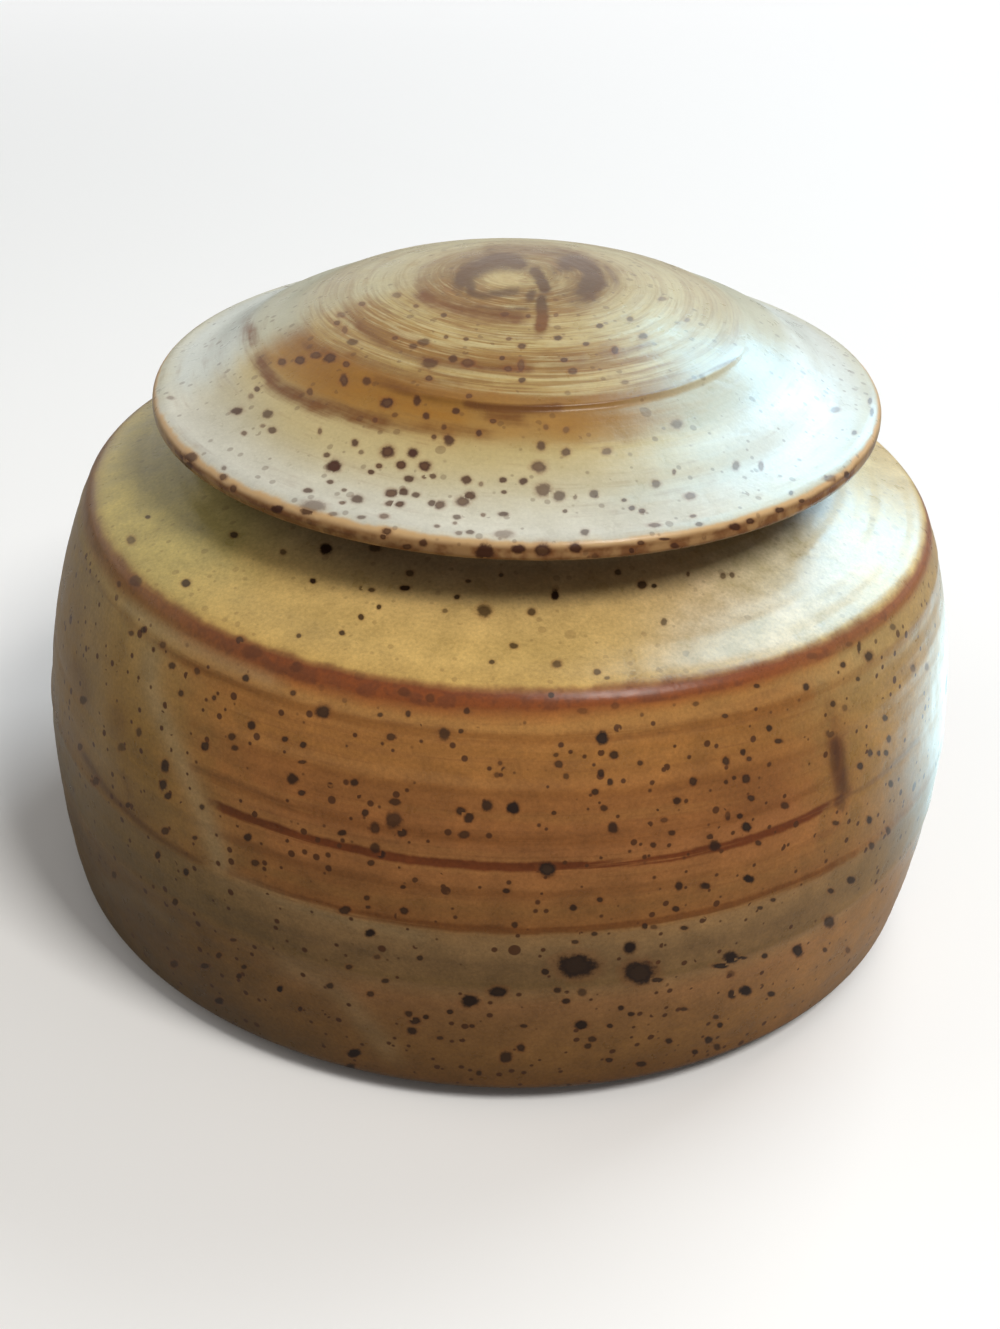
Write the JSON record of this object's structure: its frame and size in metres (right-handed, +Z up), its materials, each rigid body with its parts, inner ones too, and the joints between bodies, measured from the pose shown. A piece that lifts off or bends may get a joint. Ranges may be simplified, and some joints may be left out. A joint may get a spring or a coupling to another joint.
{
  "type": "spice jar with lift-off lid",
  "caption": "Squat hand-thrown stoneware spice jar with a sloping shoulder, a short neck and a wide domed plate lid that lifts off.",
  "frame": {"origin": "centre of the foot ring in the plane that the jar stands on", "axes": "+Z up along the axis that both pieces were thrown on, -Y towards the side that the picture shows"},
  "size_m": [0.115, 0.115, 0.0796],
  "materials": {
    "ochre_glaze": "satin ochre glaze with rust and grey-green bands, iron spots, bare clay on foot and lip",
    "cream_glaze": "satin cream glaze over brown brushed rings, iron spots, bare clay on the seat"
  },
  "bodies": {
    "jar": {"jar_body": "ochre_glaze"},
    "lid": {"lid": "cream_glaze"}
  },
  "joints": [
    {"name": "lid_lift", "type": "slide", "parent": "jar", "child": "lid", "axis": [0, 0, 1], "range_m": [0, 0.03]}
  ]
}
